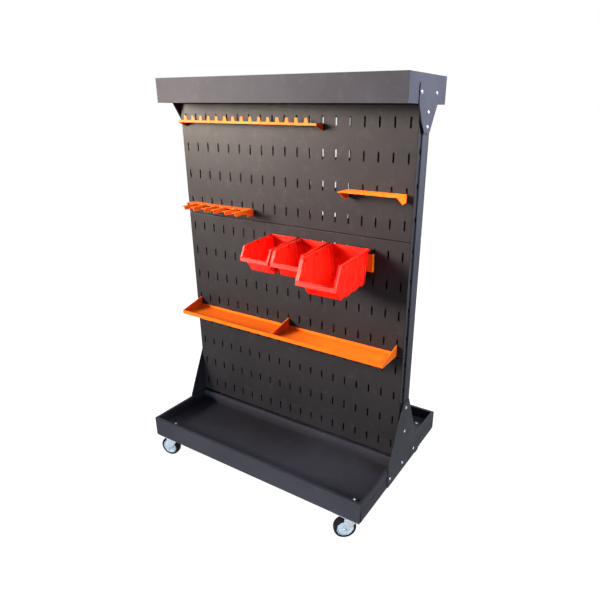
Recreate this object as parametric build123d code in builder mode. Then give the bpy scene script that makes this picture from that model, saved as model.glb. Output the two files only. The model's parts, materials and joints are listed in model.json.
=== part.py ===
from build123d import *
from math import cos, radians, sin, sqrt
import os

os.makedirs("parts", exist_ok=True)

# Double-sided mobile tool panel: slotted steel panels on two uprights, a top tray, two low
# trays round the foot, swivel casters, and lift-off holders and bins on the front face.
# Millimetres. X runs along the width, Y from the front to the rear, Z up from the floor.
# The origin is on the floor under the middle of the frame.

# Slot grid
column_pitch = 50
row_pitch = 100
column_margin = 25
rows_per_panel = 4
panels_per_side = 3
slot_length = 32
slot_width = 6

# Sheets and clearances
panel_sheet = 1.5
tray_sheet = 1.5
plate_sheet = 3
rail_sheet = 2.5
tube_wall = 2
holder_sheet = 2
bend_radius = 2
seat_gap = 0.3
weld_gap = 0.5
running_gap = 0.08

# Frame
frame_width = 960
base_depth = 660
base_height = 80
caster_height = 105
upright_size = 40
upright_corner = 3
panel_return = 22
panel_inset = 5
panel_seam = 1.5
panel_foot_gap = 4
top_tray_depth = 284
top_tray_height = 80
top_hem = 8

# Base rails and beams
rail_height = 42
rail_flange = 30
rail_setback = 9
beam_width = 80
beam_height = 35
beam_gap = 1.5
plinth_width = 100
plinth_height = 40.5

# Base trays
rim_width = 8.5
skirt_gap = 2
plinth_gap = 2
tray_back_rim = 8

# Side plates
gusset_foot_half_width = 122
gusset_top_half_width = 24
gusset_shoulder = 84
gusset_rise = 300
gusset_screw_drop = 26
gusset_screw_pitch = 100
gusset_screw_inset = 15
rail_screw_drop = 8
bracket_half_width = 71
bracket_foot_half_width = 21
bracket_top_drop = 23
bracket_foot_drop = 80
bracket_corner = 10
bracket_screw_drop = 22
bracket_screw_pitch = 40
bracket_screw_inset = 13
bracket_tray_screw_drop = 27

# Hooks that hang in slots
hook_drop = 8
hook_reach = 6
panel_hook_neck = 14
panel_hook_slot_width = 4
panel_hook_slot_length = 30
panel_hook_offset = 12
notch_depth = 7

# Screws
frame_screw_radius = 3
frame_head_radius = 5.5
frame_head_height = 3.4
frame_nut_radius = 5.8
frame_nut_height = 5
tray_screw_offset_x = 2.5
tray_screw_offset_y = 15
caster_screw_radius = 4
caster_head_radius = 7
caster_head_height = 5
caster_nut_height = 6.5
hole_clearance = 0.3

# Casters
caster_inset_x = 54.5
caster_inset_y = 43
caster_plate_length = 105
caster_plate_width = 85
caster_plate_thickness = 3
caster_hole_spacing_x = 80
caster_hole_spacing_y = 54
caster_trail = 22
wheel_radius = 40
tyre_width = 30
tyre_thickness = 10
tyre_shoulder = 7
tyre_shoulder_steps = 3
hub_width = 34
hub_radius = 10
axle_radius = 4
fork_sheet = 3
fork_side_gap = 1
fork_leg_reach = 26
fork_foot_radius = 11.7
axle_hex_radius = 7.4
axle_head_height = 5
axle_nut_height = 6.5
axle_tail = 8
crown_radius = 29
race_radius = 27
race_height = 8.5
crown_gap = 0.3
crown_ring_height = 5.2
kingpin_radius = 6
kingpin_head_radius = 9
kingpin_head_height = 4

# Front left, front right, rear right and rear left: side in X, side in Y, trail direction
casters = {
    "front_left": (-1, -1, 192),
    "front_right": (1, -1, 220),
    "rear_right": (1, 1, 265),
    "rear_left": (-1, 1, 20),
}

# Heights that the driving sizes fix
rim_z = caster_height + base_height
rail_top_z = caster_height + rail_height
plinth_bottom_z = caster_height + rail_sheet
plinth_top_z = plinth_bottom_z + plinth_height
panel_bottom_z = rim_z + panel_foot_gap
panel_height = rows_per_panel * row_pitch
panel_top_z = panel_bottom_z + panels_per_side * panel_height
first_row_z = panel_top_z - row_pitch / 2
beam_top_z = caster_height + beam_height
top_rim_z = panel_top_z + top_tray_height

# Planes in plan
half_width = frame_width / 2
half_base = base_depth / 2
upright_x = half_width - upright_size / 2
panel_width = frame_width - 2 * panel_inset
column_count = int((panel_width - 2 * column_margin) // column_pitch) + 1
middle_column = (column_count - 1) // 2
caster_centre_x = half_width - caster_inset_x
caster_centre_y = half_base - caster_inset_y
panel_face_y = upright_size / 2 + panel_return
holder_back_y = -(panel_face_y + seat_gap)
hook_front_y = -(panel_face_y - panel_sheet - seat_gap)
panel_hook_back = upright_size / 2 - tube_wall - seat_gap


def row_z(row):
    """Height of a slot row's centre, counted down from the top."""
    return first_row_z - row * row_pitch


def column_x(column):
    """Place of a slot column's centre, counted from the left."""
    return (column - (column_count - 1) / 2) * column_pitch


def neck_z(row, reach):
    """Underside of a neck in a slot of this row, whose sides reach this far from the slot's middle."""
    end_radius = slot_width / 2
    seat = end_radius - sqrt(end_radius**2 - reach**2)
    return row_z(row) - slot_length / 2 + seat + seat_gap


def face_plane(side, depth, height):
    """Upright plane on the front (-1) or the rear (1), facing outwards."""
    return Plane(origin=(0, side * depth, height), x_dir=(-side, 0, 0), z_dir=(0, side, 0))


def side_plane(side, distance):
    """Upright plane on the left (-1) or the right (1), facing outwards."""
    return Plane(origin=(side * distance, 0, 0), x_dir=(0, side, 0), z_dir=(side, 0, 0))


def holder_hook(neck_bottom, neck_top):
    """Hook at a holder's rear edge, as (y, z) points from its top edge round to its neck."""
    tip_y = hook_front_y + hook_reach
    return [
        (tip_y, neck_top),
        (tip_y, neck_bottom - hook_drop),
        (hook_front_y, neck_bottom - hook_drop),
        (hook_front_y, neck_bottom),
        (holder_back_y, neck_bottom),
    ]


def panel_hook_heights():
    """Lower ends of the upright's slots, in which the panels' side hooks sit."""
    centre = panel_hook_offset + row_pitch / 2
    count = panels_per_side * rows_per_panel
    return [panel_bottom_z + centre + row_pitch * k - panel_hook_slot_length / 2 for k in range(count)]


# Uprights
hook_slot_x = panel_width / 2 - panel_sheet / 2
gusset_top_screw_z = caster_height + gusset_rise - gusset_screw_drop
gusset_screw_z = [gusset_top_screw_z, gusset_top_screw_z - gusset_screw_pitch]
bracket_top_screw_z = panel_top_z - bracket_screw_drop
bracket_screw_z = [bracket_top_screw_z, bracket_top_screw_z - bracket_screw_pitch]
for name, side in (("left", -1), ("right", 1)):
    with BuildPart() as upright:
        with BuildSketch(Plane.XY.offset(plinth_top_z)):
            with Locations((side * upright_x, 0)):
                RectangleRounded(upright_size, upright_size, upright_corner)
                inner = upright_size - 2 * tube_wall
                RectangleRounded(inner, inner, upright_corner - tube_wall, mode=Mode.SUBTRACT)
        extrude(amount=panel_top_z - plinth_top_z)
        with BuildSketch(Plane.XZ):
            for bottom in panel_hook_heights():
                with Locations((side * hook_slot_x, bottom + panel_hook_slot_length / 2)):
                    Rectangle(panel_hook_slot_width, panel_hook_slot_length)
        extrude(amount=upright_size, both=True, mode=Mode.SUBTRACT)
        with BuildSketch(side_plane(side, half_width)):
            for height in gusset_screw_z + bracket_screw_z:
                with Locations((0, height)):
                    Circle(frame_screw_radius + hole_clearance)
        extrude(amount=-2 * tube_wall, mode=Mode.SUBTRACT)
    upright.part.label = f"upright_{name}"
    export_step(upright.part, f"parts/upright_{name}.step")

# Crossbar between the tops of the uprights
with BuildPart() as top_crossbar:
    with BuildSketch(Plane.YZ.offset(-(half_width - upright_size))):
        with Locations((0, panel_top_z - upright_size / 2)):
            RectangleRounded(upright_size, upright_size, upright_corner)
            inner = upright_size - 2 * tube_wall
            RectangleRounded(inner, inner, upright_corner - tube_wall, mode=Mode.SUBTRACT)
    extrude(amount=2 * (half_width - upright_size))
top_crossbar.part.label = "top_crossbar"
export_step(top_crossbar.part, "parts/top_crossbar.step")

# Slotted panels, three on the front and three on the rear
panel_names = ["lower", "middle", "upper"]
for side_name, side in (("front", -1), ("rear", 1)):
    for level in range(panels_per_side):
        bottom_z = panel_bottom_z + level * panel_height
        middle_z = bottom_z + panel_height / 2
        with BuildPart() as panel:
            with BuildSketch(face_plane(side, panel_face_y, middle_z)):
                Rectangle(panel_width, panel_height - panel_seam)
            extrude(amount=-(panel_return - seat_gap))
            face = faces().sort_by(Axis.Y)[0 if side < 0 else -1]
            fillet(face.edges(), radius=bend_radius)
            back = faces().sort_by(Axis.Y)[-1 if side < 0 else 0]
            offset(amount=-panel_sheet, openings=back)
            with BuildSketch(face_plane(side, panel_face_y, middle_z)):
                with GridLocations(column_pitch, row_pitch, column_count, rows_per_panel):
                    SlotOverall(slot_length, slot_width, rotation=90)
            extrude(amount=-2 * panel_sheet, mode=Mode.SUBTRACT)
            edge_y = upright_size / 2 + seat_gap
            hooks = panel_hook_heights()[level * rows_per_panel:(level + 1) * rows_per_panel]
            with BuildSketch(Plane.YZ):
                for bottom in hooks:
                    slot_middle = bottom + panel_hook_slot_length / 2 + panel_hook_neck / 2
                    with Locations((side * edge_y, slot_middle)):
                        Rectangle(2 * notch_depth, panel_hook_slot_length - panel_hook_neck)
            extrude(amount=frame_width, both=True, mode=Mode.SUBTRACT)
            for edge in (-1, 1):
                outer_x = edge * panel_width / 2
                inner_x = outer_x - edge * panel_sheet
                with BuildSketch(Plane.YZ.offset(min(outer_x, inner_x))):
                    for bottom in hooks:
                        tip = panel_hook_back - hook_reach
                        neck = bottom + seat_gap
                        root = edge_y + notch_depth
                        with BuildLine():
                            Polyline(
                                (side * root, neck),
                                (side * root, neck + panel_hook_neck),
                                (side * tip, neck + panel_hook_neck),
                                (side * tip, neck - hook_drop),
                                (side * panel_hook_back, neck - hook_drop),
                                (side * panel_hook_back, neck),
                                close=True,
                            )
                        make_face()
                extrude(amount=panel_sheet)
        panel.part.label = f"{side_name}_panel_{panel_names[level]}"
        export_step(panel.part, f"parts/{side_name}_panel_{panel_names[level]}.step")

# Top tray: welded walls that lean inwards at the rim, round a floor sheet
bracket_tray_z = top_rim_z - bracket_top_drop - bracket_tray_screw_drop
bracket_tray_y = bracket_half_width - bracket_screw_inset
bracket_tray_screws = [(-bracket_tray_y, bracket_tray_z), (bracket_tray_y, bracket_tray_z)]
with BuildPart() as top_tray:
    with BuildSketch(Plane.XY.offset(panel_top_z)):
        Rectangle(frame_width, top_tray_depth)
    extrude(amount=top_tray_height - top_hem)
    with BuildSketch(Plane.XY.offset(top_rim_z - top_hem)):
        Rectangle(frame_width, top_tray_depth)
    extrude(amount=top_hem, taper=45)
    offset(amount=-tray_sheet, openings=faces().filter_by(Axis.Z))
    with BuildSketch(Plane.YZ):
        with Locations(*bracket_tray_screws):
            Circle(frame_screw_radius + hole_clearance)
    extrude(amount=frame_width, both=True, mode=Mode.SUBTRACT)
top_tray.part.label = "top_tray"
export_step(top_tray.part, "parts/top_tray.step")

with BuildPart() as top_tray_floor:
    with BuildSketch(Plane.XY.offset(panel_top_z)):
        Rectangle(frame_width - 2 * tray_sheet, top_tray_depth - 2 * tray_sheet)
    extrude(amount=tray_sheet)
top_tray_floor.part.label = "top_tray_floor"
export_step(top_tray_floor.part, "parts/top_tray_floor.step")

# Brackets that hold the top tray to the uprights
bracket_upright_screws = [(0, height) for height in bracket_screw_z]
for name, side in (("left", -1), ("right", 1)):
    with BuildPart() as bracket:
        with BuildSketch(side_plane(side, half_width)):
            with BuildLine():
                Polyline(
                    (-bracket_half_width, top_rim_z - bracket_top_drop),
                    (bracket_half_width, top_rim_z - bracket_top_drop),
                    (bracket_half_width, panel_top_z),
                    (bracket_foot_half_width, panel_top_z - bracket_foot_drop),
                    (-bracket_foot_half_width, panel_top_z - bracket_foot_drop),
                    (-bracket_half_width, panel_top_z),
                    close=True,
                )
            make_face()
            fillet(vertices().group_by(Axis.Y)[-1], radius=bracket_corner)
            with Locations(*bracket_tray_screws, *bracket_upright_screws):
                Circle(frame_screw_radius + hole_clearance, mode=Mode.SUBTRACT)
        extrude(amount=plate_sheet)
    bracket.part.label = f"top_bracket_{name}"
    export_step(bracket.part, f"parts/top_bracket_{name}.step")

# Gussets that tie the uprights to the base
gusset_rail_screw_z = rail_top_z - rail_screw_drop
gusset_rail_screw_y = gusset_foot_half_width - gusset_screw_inset
gusset_rail_screws = [(y, gusset_rail_screw_z) for y in (-gusset_rail_screw_y, 0, gusset_rail_screw_y)]
gusset_upright_screws = [(0, height) for height in gusset_screw_z]
for name, side in (("left", -1), ("right", 1)):
    with BuildPart() as gusset:
        with BuildSketch(side_plane(side, half_width)):
            with BuildLine():
                Polyline(
                    (-gusset_foot_half_width, caster_height),
                    (gusset_foot_half_width, caster_height),
                    (gusset_foot_half_width, caster_height + gusset_shoulder),
                    (gusset_top_half_width, caster_height + gusset_rise),
                    (-gusset_top_half_width, caster_height + gusset_rise),
                    (-gusset_foot_half_width, caster_height + gusset_shoulder),
                    close=True,
                )
            make_face()
            with Locations(*gusset_rail_screws, *gusset_upright_screws):
                Circle(frame_screw_radius + hole_clearance, mode=Mode.SUBTRACT)
        extrude(amount=plate_sheet)
        fillet(edges().filter_by(Axis.X), radius=bend_radius)
    gusset.part.label = f"gusset_{name}"
    export_step(gusset.part, f"parts/gusset_{name}.step")

# Side rails of the base
rail_length = base_depth - 2 * rail_setback
caster_hole_x = caster_centre_x + caster_hole_spacing_x / 2
caster_inner_x = caster_centre_x - caster_hole_spacing_x / 2
caster_hole_y = [caster_centre_y + step * caster_hole_spacing_y / 2 for step in (-1, 1)]
for name, side in (("left", -1), ("right", 1)):
    with BuildPart() as side_rail:
        with BuildSketch(Plane.XZ.offset(-rail_length / 2)):
            with BuildLine():
                Polyline(
                    (side * half_width, caster_height),
                    (side * half_width, rail_top_z),
                    (side * (half_width - rail_sheet), rail_top_z),
                    (side * (half_width - rail_sheet), caster_height + rail_sheet),
                    (side * (half_width - rail_flange), caster_height + rail_sheet),
                    (side * (half_width - rail_flange), caster_height),
                    close=True,
                )
            make_face()
        extrude(amount=rail_length)
        with BuildSketch(side_plane(side, half_width)):
            with Locations(*gusset_rail_screws):
                Circle(frame_screw_radius + hole_clearance)
        extrude(amount=-2 * rail_sheet, mode=Mode.SUBTRACT)
        with BuildSketch(Plane.XY.offset(caster_height)):
            for end in (-1, 1):
                for y in caster_hole_y:
                    with Locations((side * caster_hole_x, end * y)):
                        Circle(caster_screw_radius + hole_clearance)
        extrude(amount=2 * rail_sheet, mode=Mode.SUBTRACT)
    side_rail.part.label = f"side_rail_{name}"
    export_step(side_rail.part, f"parts/side_rail_{name}.step")

# Front and rear beams, which carry the casters and the trays
beam_length = 2 * (half_width - rail_flange - weld_gap)
beam_centre_y = half_base - tray_sheet - beam_gap - beam_width / 2
tray_screw_x = caster_centre_x + tray_screw_offset_x
tray_screw_y = beam_centre_y - tray_screw_offset_y
for name, side in (("front", -1), ("rear", 1)):
    with BuildPart() as beam:
        with BuildSketch(Plane.YZ.offset(-beam_length / 2)):
            with Locations((side * beam_centre_y, caster_height + beam_height / 2)):
                RectangleRounded(beam_width, beam_height, upright_corner)
                inner_width = beam_width - 2 * tube_wall
                inner_height = beam_height - 2 * tube_wall
                RectangleRounded(inner_width, inner_height, upright_corner - tube_wall, mode=Mode.SUBTRACT)
        extrude(amount=beam_length)
        with BuildSketch(Plane.XY.offset(caster_height)):
            for end in (-1, 1):
                for y in caster_hole_y:
                    with Locations((end * caster_inner_x, side * y)):
                        Circle(caster_screw_radius + hole_clearance)
        extrude(amount=2 * tube_wall, mode=Mode.SUBTRACT)
        with BuildSketch(Plane.XY.offset(beam_top_z)):
            with Locations((-tray_screw_x, side * tray_screw_y), (tray_screw_x, side * tray_screw_y)):
                Circle(frame_screw_radius + hole_clearance)
        extrude(amount=-2 * tube_wall, mode=Mode.SUBTRACT)
    beam.part.label = f"{name}_beam"
    export_step(beam.part, f"parts/{name}_beam.step")

# Plinth channel under the uprights
plinth_length = 2 * (half_width - rail_sheet)
with BuildPart() as plinth:
    with BuildSketch(Plane.YZ.offset(-plinth_length / 2)):
        with Locations((0, plinth_bottom_z + plinth_height / 2)):
            Rectangle(plinth_width, plinth_height)
        with Locations((0, plinth_bottom_z + (plinth_height - tube_wall) / 2)):
            Rectangle(plinth_width - 2 * tube_wall, plinth_height - tube_wall, mode=Mode.SUBTRACT)
    extrude(amount=plinth_length)
plinth.part.label = "plinth"
export_step(plinth.part, "parts/plinth.step")

# Base trays: a pan inside the frame, a flat rim, and skirts that hang outside it
tray_back_y = plinth_width / 2 + plinth_gap
pan_half_width = half_width - rim_width
pan_front_y = half_base - rim_width
rim_back_y = tray_back_y - tray_back_rim
for name, side in (("front", -1), ("rear", 1)):
    with BuildPart() as base_tray:
        pan_depth = pan_front_y - tray_back_y
        with BuildSketch(Plane.XY.offset(beam_top_z)):
            with Locations((0, side * (pan_front_y + tray_back_y) / 2)):
                Rectangle(2 * pan_half_width, pan_depth)
        extrude(amount=rim_z - beam_top_z)
        fillet(edges().group_by(Axis.Z)[0], radius=bend_radius)
        offset(amount=-tray_sheet, openings=faces().sort_by(Axis.Z)[-1])
        rim_depth = half_base - rim_back_y
        with BuildSketch(Plane.XY.offset(rim_z)):
            with Locations((0, side * (half_base + rim_back_y) / 2)):
                Rectangle(frame_width, rim_depth)
            with Locations((0, side * (pan_front_y + tray_back_y) / 2)):
                Rectangle(2 * (pan_half_width - tray_sheet), pan_depth - 2 * tray_sheet, mode=Mode.SUBTRACT)
        extrude(amount=-tray_sheet)
        skirt_z = rail_top_z + skirt_gap
        for end in (-1, 1):
            with BuildSketch(Plane.XY.offset(skirt_z)):
                with Locations((end * (half_width - tray_sheet / 2), side * (half_base + rim_back_y) / 2)):
                    Rectangle(tray_sheet, rim_depth)
            extrude(amount=rim_z - skirt_z)
        with BuildSketch(Plane.XY.offset(caster_height)):
            with Locations((0, side * (half_base - tray_sheet / 2))):
                Rectangle(frame_width, tray_sheet)
        extrude(amount=base_height)
        with BuildSketch(Plane.XY.offset(beam_top_z)):
            with Locations((-tray_screw_x, side * tray_screw_y), (tray_screw_x, side * tray_screw_y)):
                Circle(frame_screw_radius + hole_clearance)
        extrude(amount=2 * tray_sheet, mode=Mode.SUBTRACT)
    base_tray.part.label = f"{name}_tray"
    export_step(base_tray.part, f"parts/{name}_tray.step")


def side_screw_places():
    """Each side screw as its side and its (y, z) place, with the stack that it clamps."""
    places = []
    for side in (-1, 1):
        for y, z in bracket_tray_screws:
            places.append((side, y, z, plate_sheet + tray_sheet))
        for y, z in bracket_upright_screws + gusset_upright_screws:
            places.append((side, y, z, plate_sheet + tube_wall))
        for y, z in gusset_rail_screws:
            places.append((side, y, z, plate_sheet + rail_sheet))
    return places


# Domed screw, with its head on the XY plane and its shank below
frame_shank = plate_sheet + rail_sheet + frame_nut_height + seat_gap
with BuildPart() as domed_screw:
    with BuildSketch(Plane.XZ):
        with BuildLine():
            Polyline(
                (0, -frame_shank),
                (frame_screw_radius, -frame_shank),
                (frame_screw_radius, 0),
                (frame_head_radius, 0),
                (frame_head_radius, frame_head_height / 3),
                (frame_head_radius * 0.6, frame_head_height),
                (0, frame_head_height),
                close=True,
            )
        make_face()
    revolve(axis=Axis.Z)

# Screws of the brackets and gussets
head_face = half_width + plate_sheet
with BuildPart() as frame_screws:
    for side, y, z, stack in side_screw_places():
        with Locations(Plane(origin=(side * head_face, y, z), x_dir=(0, side, 0), z_dir=(side, 0, 0))):
            add(domed_screw.part)
frame_screws.part.label = "frame_screws"
export_step(frame_screws.part, "parts/frame_screws.step")

# Their nuts
with BuildPart() as frame_nuts:
    for side, y, z, stack in side_screw_places():
        with BuildSketch(side_plane(side, head_face - stack)):
            with Locations((side * y, z)):
                RegularPolygon(frame_nut_radius, 6)
                Circle(frame_screw_radius + running_gap, mode=Mode.SUBTRACT)
        extrude(amount=-frame_nut_height)
frame_nuts.part.label = "frame_nuts"
export_step(frame_nuts.part, "parts/frame_nuts.step")

# Screws that hold the base trays down
tray_screw_places = [(end * tray_screw_x, side * tray_screw_y) for end in (-1, 1) for side in (-1, 1)]
with BuildPart() as tray_screws:
    with Locations(*[(x, y, beam_top_z + tray_sheet) for x, y in tray_screw_places]):
        add(domed_screw.part)
tray_screws.part.label = "tray_screws"
export_step(tray_screws.part, "parts/tray_screws.step")

with BuildPart() as tray_nuts:
    with BuildSketch(Plane.XY.offset(beam_top_z - tube_wall)):
        with Locations(*tray_screw_places):
            RegularPolygon(frame_nut_radius, 6)
            Circle(frame_screw_radius + running_gap, mode=Mode.SUBTRACT)
    extrude(amount=-frame_nut_height)
tray_nuts.part.label = "tray_nuts"
export_step(tray_nuts.part, "parts/tray_nuts.step")

# Caster screws and nuts, with the inner pairs in the beams and the outer pairs in the rails
caster_screw_places = [
    (end * x, side * y, clamped)
    for end in (-1, 1)
    for side in (-1, 1)
    for x, clamped in ((caster_hole_x, rail_sheet), (caster_inner_x, tube_wall))
    for y in caster_hole_y
]
caster_seat_z = caster_height - caster_plate_thickness
with BuildPart() as caster_screws:
    with BuildSketch(Plane.XY.offset(caster_seat_z)):
        for x, y, clamped in caster_screw_places:
            with Locations((x, y)):
                RegularPolygon(caster_head_radius, 6)
    extrude(amount=-caster_head_height)
    for x, y, clamped in caster_screw_places:
        with BuildSketch(Plane.XY.offset(caster_seat_z)):
            with Locations((x, y)):
                Circle(caster_screw_radius)
        extrude(amount=caster_plate_thickness + clamped + caster_nut_height + seat_gap)
caster_screws.part.label = "caster_screws"
export_step(caster_screws.part, "parts/caster_screws.step")

with BuildPart() as caster_nuts:
    for x, y, clamped in caster_screw_places:
        with BuildSketch(Plane.XY.offset(caster_height + clamped)):
            with Locations((x, y)):
                RegularPolygon(caster_head_radius, 6)
                Circle(caster_screw_radius + running_gap, mode=Mode.SUBTRACT)
        extrude(amount=caster_nut_height)
caster_nuts.part.label = "caster_nuts"
export_step(caster_nuts.part, "parts/caster_nuts.step")

# Casters
race_bottom_z = caster_seat_z - race_height
crown_top_z = race_bottom_z - crown_gap
crown_bottom_z = crown_top_z - crown_ring_height - fork_sheet
leg_inner = hub_width / 2 + fork_side_gap
core_radius = wheel_radius - tyre_thickness
axle_end = leg_inner + fork_sheet
for name, (x_side, y_side, direction) in casters.items():
    centre = (x_side * caster_centre_x, y_side * caster_centre_y)
    trail_dir = (cos(radians(direction)), sin(radians(direction)), 0)
    axle_dir = (-trail_dir[1], trail_dir[0], 0)
    wheel_centre = (
        centre[0] + caster_trail * trail_dir[0],
        centre[1] + caster_trail * trail_dir[1],
        wheel_radius,
    )
    # Across the axle, with x along the trail and y up
    wheel_plane = Plane(origin=wheel_centre, x_dir=trail_dir, z_dir=(trail_dir[1], -trail_dir[0], 0))
    # Along the axle, with x along the axle and y up, for turned profiles
    turn_plane = Plane(origin=wheel_centre, x_dir=axle_dir, z_dir=trail_dir)
    turn_axis = Axis(wheel_centre, axle_dir)
    swivel_plane = Plane(origin=(*centre, 0), x_dir=trail_dir, z_dir=(0, 0, 1))

    with BuildPart() as caster_plate:
        with BuildSketch(Plane.XY.offset(caster_seat_z)):
            with Locations(centre):
                RectangleRounded(caster_plate_length, caster_plate_width, 6)
                with GridLocations(caster_hole_spacing_x, caster_hole_spacing_y, 2, 2):
                    Circle(caster_screw_radius + hole_clearance, mode=Mode.SUBTRACT)
        extrude(amount=caster_plate_thickness)
        with BuildSketch(swivel_plane.offset(race_bottom_z)):
            Circle(race_radius)
        extrude(amount=race_height, taper=12)
        with BuildSketch(swivel_plane.offset(crown_bottom_z - crown_gap)):
            Circle(kingpin_radius)
        extrude(amount=race_bottom_z - crown_bottom_z + crown_gap)
        with BuildSketch(swivel_plane.offset(crown_bottom_z - crown_gap)):
            Circle(kingpin_head_radius)
        extrude(amount=-kingpin_head_height, taper=20)
    caster_plate.part.label = f"caster_plate_{name}"
    export_step(caster_plate.part, f"parts/caster_plate_{name}.step")

    with BuildPart() as fork:
        with BuildSketch(swivel_plane.offset(crown_bottom_z)):
            Circle(crown_radius)
            Rectangle(2 * fork_leg_reach, 2 * axle_end)
        extrude(amount=fork_sheet)
        with BuildSketch(swivel_plane.offset(crown_bottom_z + fork_sheet)):
            Circle(crown_radius - fork_sheet)
        extrude(amount=crown_ring_height, taper=8)
        leg_top = crown_bottom_z + fork_sheet - wheel_radius
        for leg in (-1, 1):
            start = leg_inner if leg > 0 else -axle_end
            with BuildSketch(wheel_plane.offset(start)):
                with BuildLine():
                    Polyline(
                        (-caster_trail - fork_leg_reach, leg_top),
                        (-caster_trail + fork_leg_reach, leg_top),
                        (fork_foot_radius - 0.6, 4),
                        (0.6 - fork_foot_radius, -4),
                        close=True,
                    )
                make_face()
                Circle(fork_foot_radius)
                Circle(axle_radius + running_gap, mode=Mode.SUBTRACT)
            extrude(amount=fork_sheet)
        with BuildSketch(swivel_plane.offset(crown_bottom_z)):
            Circle(kingpin_radius + running_gap)
        extrude(amount=crown_ring_height + fork_sheet, mode=Mode.SUBTRACT)
    fork.part.label = f"fork_{name}"
    export_step(fork.part, f"parts/fork_{name}.step")

    with BuildPart() as axle:
        with BuildSketch(wheel_plane.offset(-axle_end - axle_head_height)):
            RegularPolygon(axle_hex_radius, 6)
        extrude(amount=axle_head_height)
        with BuildSketch(wheel_plane.offset(-axle_end)):
            Circle(axle_radius)
        extrude(amount=2 * axle_end + axle_tail)
        with BuildSketch(wheel_plane.offset(axle_end)):
            RegularPolygon(axle_hex_radius, 6)
        extrude(amount=axle_nut_height)
    axle.part.label = f"axle_{name}"
    export_step(axle.part, f"parts/axle_{name}.step")

    with BuildPart() as wheel_core:
        with BuildSketch(turn_plane):
            with BuildLine():
                Polyline(
                    (-hub_width / 2, axle_radius + running_gap),
                    (-hub_width / 2, hub_radius),
                    (-hub_width / 2 + 7, hub_radius + 3),
                    (-tyre_width / 2 + 6, core_radius - 7),
                    (-tyre_width / 2 + 3, core_radius - 1),
                    (-tyre_width / 2 + 5, core_radius),
                    (tyre_width / 2 - 5, core_radius),
                    (tyre_width / 2 - 3, core_radius - 1),
                    (tyre_width / 2 - 6, core_radius - 7),
                    (hub_width / 2 - 7, hub_radius + 3),
                    (hub_width / 2, hub_radius),
                    (hub_width / 2, axle_radius + running_gap),
                    close=True,
                )
            make_face()
        revolve(axis=turn_axis)
    wheel_core.part.label = f"wheel_core_{name}"
    export_step(wheel_core.part, f"parts/wheel_core_{name}.step")

    with BuildPart() as tyre:
        shoulder = [90 * step / tyre_shoulder_steps for step in range(tyre_shoulder_steps + 1)]
        flank = tyre_width / 2 - tyre_shoulder
        crown = wheel_radius - tyre_shoulder
        right = [
            (flank + tyre_shoulder * sin(radians(a)), crown + tyre_shoulder * cos(radians(a)))
            for a in shoulder
        ]
        with BuildSketch(turn_plane):
            with BuildLine():
                Polyline(
                    (-tyre_width / 2, core_radius),
                    *[(-x, y) for x, y in reversed(right)],
                    *right,
                    (tyre_width / 2, core_radius),
                    close=True,
                )
            make_face()
        revolve(axis=turn_axis)
    tyre.part.label = f"tyre_{name}"
    export_step(tyre.part, f"parts/tyre_{name}.step")

# Holders. Each cheek's rear edge carries the hook, which stands in a panel slot.
half_cheek = holder_sheet / 2

# Wrench rack
rack_row = 0
rack_left_column = 0
rack_right_column = 12
rack_depth = 40
rack_rim = 7
rack_top_drop = 7
rack_cheek_drop = 23
prong_count = 15
prong_pitch = 37.5
prong_root = 15
prong_tip = 9
prong_height = 15
rack_left_x = column_x(rack_left_column)
rack_right_x = column_x(rack_right_column)
rack_top_z = row_z(rack_row) - rack_top_drop
rack_front_y = holder_back_y - rack_depth
rack_length = rack_right_x - rack_left_x + holder_sheet
rack_middle_x = (rack_left_x + rack_right_x) / 2
with BuildPart() as wrench_rack:
    with BuildSketch(Plane.XY.offset(rack_top_z - rack_rim)):
        with Locations((rack_middle_x, holder_back_y - rack_depth / 2)):
            Rectangle(rack_length, rack_depth)
    extrude(amount=holder_sheet)
    with BuildSketch(face_plane(-1, -rack_front_y, rack_top_z)):
        with Locations((rack_middle_x, -rack_rim / 2)):
            Rectangle(rack_length, rack_rim)
        for k in range(prong_count):
            prong_x = rack_middle_x + (k - (prong_count - 1) / 2) * prong_pitch
            with BuildLine():
                Polyline(
                    (prong_x - prong_root / 2, -rack_rim / 2),
                    (prong_x - prong_root / 2, 0),
                    (prong_x - prong_tip / 2, prong_height),
                    (prong_x + prong_tip / 2, prong_height),
                    (prong_x + prong_root / 2, 0),
                    (prong_x + prong_root / 2, -rack_rim / 2),
                    close=True,
                )
            make_face()
    extrude(amount=-holder_sheet)
    for x in (rack_left_x, rack_right_x):
        with BuildSketch(Plane.YZ.offset(x - half_cheek)):
            with BuildLine():
                Polyline(
                    (rack_front_y, rack_top_z - rack_rim),
                    (rack_front_y, rack_top_z),
                    *holder_hook(neck_z(rack_row, half_cheek), rack_top_z),
                    (holder_back_y, rack_top_z - rack_cheek_drop),
                    close=True,
                )
            make_face()
        extrude(amount=holder_sheet)
wrench_rack.part.label = "wrench_rack"
export_step(wrench_rack.part, "parts/wrench_rack.step")

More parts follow.
